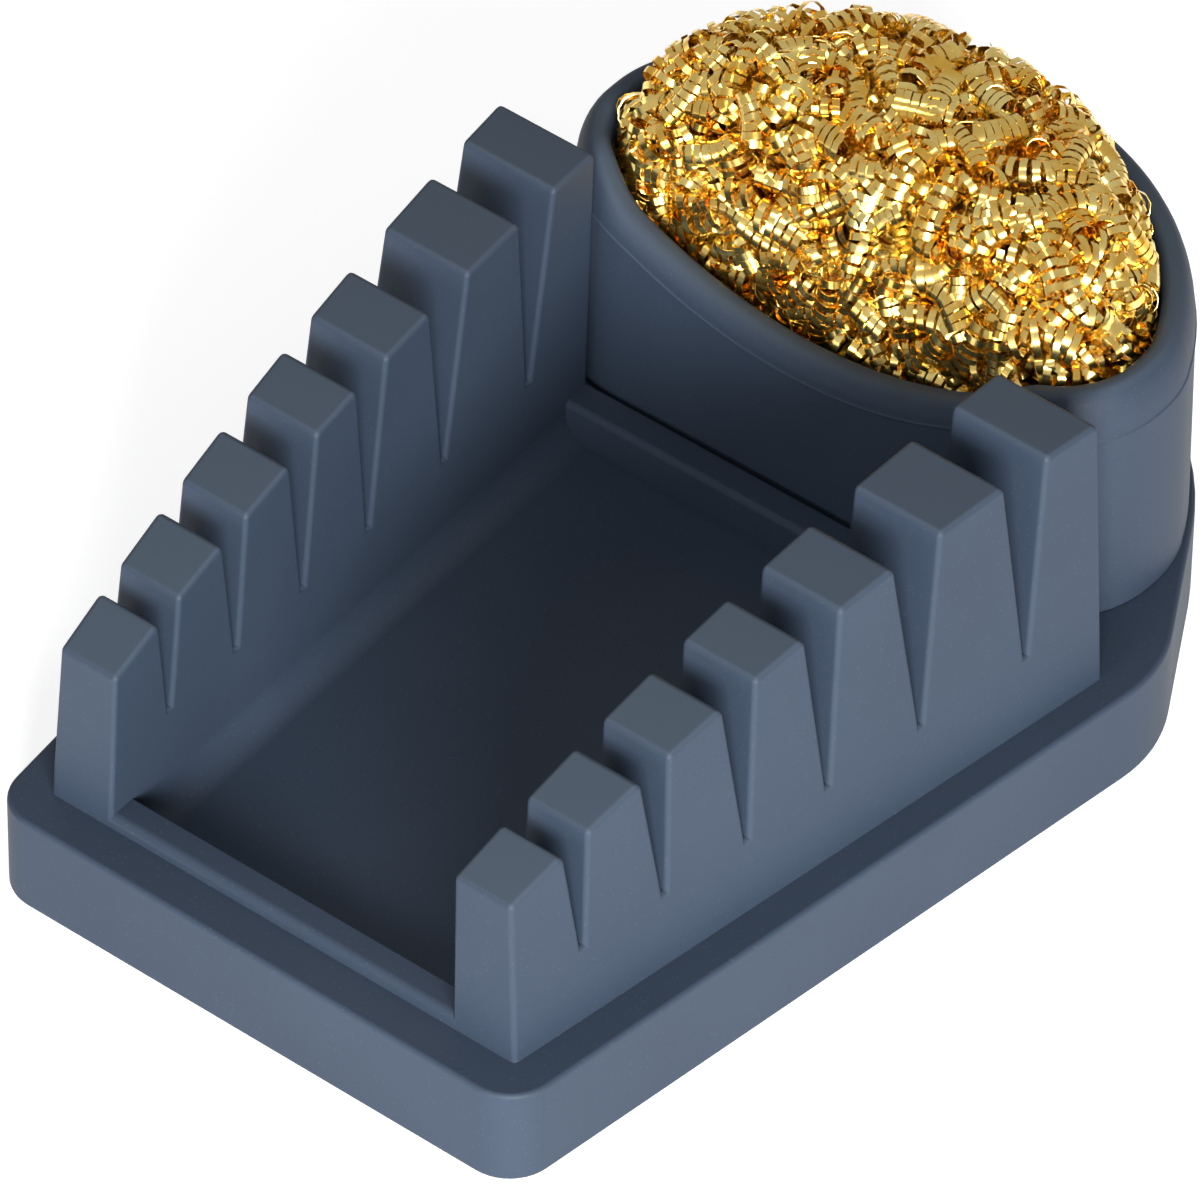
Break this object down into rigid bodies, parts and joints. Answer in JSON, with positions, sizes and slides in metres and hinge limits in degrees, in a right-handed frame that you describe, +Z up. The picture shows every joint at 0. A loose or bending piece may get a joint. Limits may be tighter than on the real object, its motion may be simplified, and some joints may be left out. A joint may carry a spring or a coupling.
{
  "type": "soldering iron stand",
  "caption": "Silicone soldering iron stand with two stepped comb racks beside a sunken tray and a D-shaped cup of brass wool at the back.",
  "frame": {"origin": "centre of the base's outline on the surface that it stands on", "axes": "+Z up, +Y from the low front of the racks to the cup at the back, +X to the right seen from the front"},
  "size_m": [0.0834, 0.1218, 0.054],
  "materials": {
    "base_silicone": "matte slate-blue silicone, slightly lighter on worn edges",
    "cup_silicone": "matte slate-blue silicone",
    "brass_wool": "bright curled flat brass ribbon"
  },
  "bodies": {
    "base": {"base_plate": "base_silicone", "left_rack": "base_silicone", "right_rack": "base_silicone"},
    "cup": {"cup": "cup_silicone"},
    "wool": {"brass_wool": "brass_wool"}
  },
  "joints": [
    {"name": "cup_lift", "type": "slide", "parent": "base", "child": "cup", "axis": [0, 0, 1], "range_m": [0, 0.05]},
    {"name": "wool_lift", "type": "slide", "parent": "cup", "child": "wool", "axis": [0, 0, 1], "range_m": [0, 0.045]}
  ]
}
